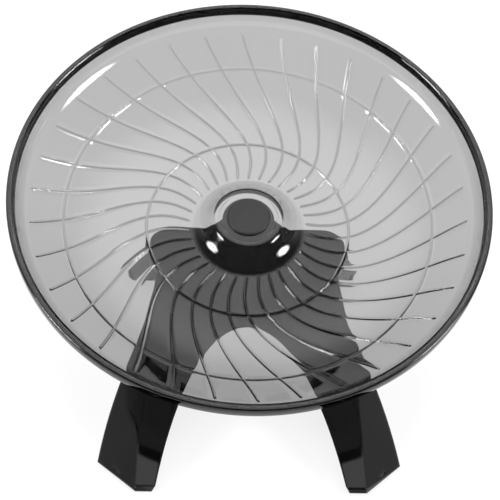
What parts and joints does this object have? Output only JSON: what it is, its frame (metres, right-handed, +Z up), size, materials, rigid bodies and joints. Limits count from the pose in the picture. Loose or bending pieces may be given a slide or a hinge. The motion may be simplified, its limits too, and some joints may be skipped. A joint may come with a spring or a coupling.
{
  "type": "rodent exercise wheel",
  "caption": "Tilted clear dish with curved grip ribs that spins on sealed ball bearings in a low black stand with splayed legs.",
  "frame": {"origin": "floor level under the middle of the wheel's bounding box", "axes": "+Z up, -Y towards the low front edge of the dish, +X to the wheel's right seen from the front"},
  "size_m": [0.18, 0.1732, 0.1098],
  "materials": {
    "smoke_clear": "clear smoke grey, polished",
    "cap": "fine matte",
    "gloss_black": "moulded high gloss",
    "zinc_steel": "zinc plated",
    "nylon": "natural matte",
    "bearing_steel": "ground",
    "ball_chrome": "polished",
    "cage_steel": "pressed",
    "shield_steel": "pressed",
    "pad_rubber": "matte"
  },
  "bodies": {
    "stand": {"stand": "gloss_black", "foot_pad_front_left": "pad_rubber", "foot_pad_front_right": "pad_rubber", "foot_pad_back_left": "pad_rubber", "foot_pad_back_right": "pad_rubber", "upper_bearing_outer_race": "bearing_steel", "upper_bearing_top_shield": "shield_steel", "upper_bearing_end_shield": "shield_steel", "lower_bearing_outer_race": "bearing_steel", "lower_bearing_top_shield": "shield_steel", "lower_bearing_end_shield": "shield_steel"},
    "dish": {"dish": "smoke_clear", "hub_cap": "cap", "axle_bolt": "zinc_steel", "head_washer": "zinc_steel", "race_spacer": "zinc_steel", "end_washer": "zinc_steel", "lock_nut": "zinc_steel", "lock_nut_insert": "nylon", "upper_bearing_inner_race": "bearing_steel", "lower_bearing_inner_race": "bearing_steel"},
    "upper_cage": {"upper_bearing_balls": "ball_chrome", "upper_bearing_cage": "cage_steel"},
    "lower_cage": {"lower_bearing_balls": "ball_chrome", "lower_bearing_cage": "cage_steel"}
  },
  "joints": [
    {"name": "dish_spin", "type": "hinge", "parent": "stand", "child": "dish", "pos_m": [0, 0.0048, 0.06844], "axis": [0, -0.4617, 0.887], "continuous": true},
    {"name": "upper_cage_spin", "type": "hinge", "parent": "stand", "child": "upper_cage", "pos_m": [0, 0.0048, 0.06844], "axis": [0, -0.4617, 0.887], "continuous": true},
    {"name": "lower_cage_spin", "type": "hinge", "parent": "stand", "child": "lower_cage", "pos_m": [0, 0.0048, 0.06844], "axis": [0, -0.4617, 0.887], "continuous": true}
  ],
  "couplings": [
    {"joint": "upper_cage_spin", "follows": "dish_spin", "ratio": 0.34762},
    {"joint": "lower_cage_spin", "follows": "dish_spin", "ratio": 0.34762}
  ]
}
